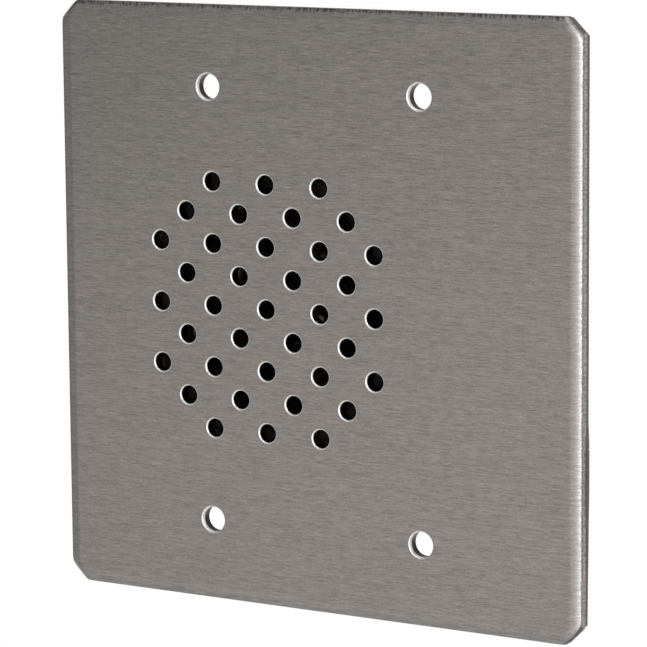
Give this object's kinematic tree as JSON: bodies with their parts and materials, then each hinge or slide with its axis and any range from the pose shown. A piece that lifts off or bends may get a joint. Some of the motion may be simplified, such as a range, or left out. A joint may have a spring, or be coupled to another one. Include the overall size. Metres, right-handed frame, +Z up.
{
  "type": "hands-free intercom station",
  "caption": "Square brushed steel wall-box plate with cut corners, an offset field of round sound holes and plain screw holes, carrying a loudspeaker and an amplifier board behind it.",
  "frame": {"origin": "centre of the box screw pattern on the back face of the face plate", "axes": "+X to the right seen from the front, +Y into the wall, +Z up"},
  "size_m": [0.1132, 0.0308, 0.1142],
  "materials": {
    "brushed_stainless": "fine horizontal brushing, rolled edges",
    "foam_tape": "dense closed-cell foam, matt",
    "speaker_foam": "soft open-cell foam, matt",
    "plated_steel": "bright zinc plating",
    "zinc_sheet": "stamped sheet, dull zinc plating",
    "black_mylar": "glossy black film",
    "surround_cloth": "treated cloth, satin black",
    "kraft_paper": "brown kraft paper",
    "copper_winding": "enamelled copper wire",
    "spider_cloth": "resin-stiffened cloth",
    "ferrite": "ground ferrite, dark grey",
    "phenolic_board": "brown phenolic sheet",
    "tinned_brass": "tinned, slightly dull",
    "rivet_aluminium": "bare aluminium",
    "brass": "turned brass",
    "glass_epoxy": "green lacquer over glass epoxy",
    "terminal_plastic": "green moulded plastic",
    "trimmer_plastic": "blue moulded plastic",
    "ivory_plastic": "ivory moulded plastic",
    "chip_epoxy": "black moulding compound",
    "tinned_wire": "tinned wire",
    "can_sleeve": "dark sleeve over an aluminium can",
    "film_box": "red dipped coating",
    "resistor_lacquer": "tan lacquer with colour rings"
  },
  "bodies": {
    "station": {"face_plate": "brushed_stainless", "wall_gasket": "foam_tape", "weld_studs": "plated_steel", "speaker_gasket": "speaker_foam", "speaker_frame": "zinc_sheet", "cone_surround": "surround_cloth", "spider": "spider_cloth", "magnet_front_plate": "zinc_sheet", "magnet": "ferrite", "yoke": "zinc_sheet", "tag_board": "phenolic_board", "solder_tags": "tinned_brass", "tag_rivets": "rivet_aluminium", "lock_washers": "plated_steel", "speaker_nuts": "plated_steel", "hex_standoffs": "brass", "circuit_board": "glass_epoxy", "board_screws": "plated_steel", "terminal_block": "terminal_plastic", "terminal_screws": "plated_steel", "terminal_cages": "tinned_brass", "trimmer_body": "trimmer_plastic", "amplifier_chip": "chip_epoxy", "chip_pins": "tinned_wire", "electrolytic_capacitors": "can_sleeve", "film_capacitors": "film_box", "resistors": "resistor_lacquer", "component_leads": "tinned_wire", "speaker_header": "ivory_plastic", "header_pins": "tinned_wire"},
    "diaphragm": {"cone": "black_mylar", "dust_cap": "black_mylar", "coil_former": "kraft_paper", "voice_coil": "copper_winding"},
    "volume_rotor": {"trimmer_rotor": "ivory_plastic"}
  },
  "joints": [
    {"name": "diaphragm_travel", "type": "slide", "parent": "station", "child": "diaphragm", "axis": [0, 1, 0], "range_m": [-0.0005, 0.0005], "stiffness_N_per_m": 1200, "deforming": ["cone_surround", "spider"]},
    {"name": "volume_turn", "type": "hinge", "parent": "station", "child": "volume_rotor", "pos_m": [0.03515, 0.0144, -0.0206], "axis": [0, 1, 0], "range_deg": [-140, 140]}
  ]
}
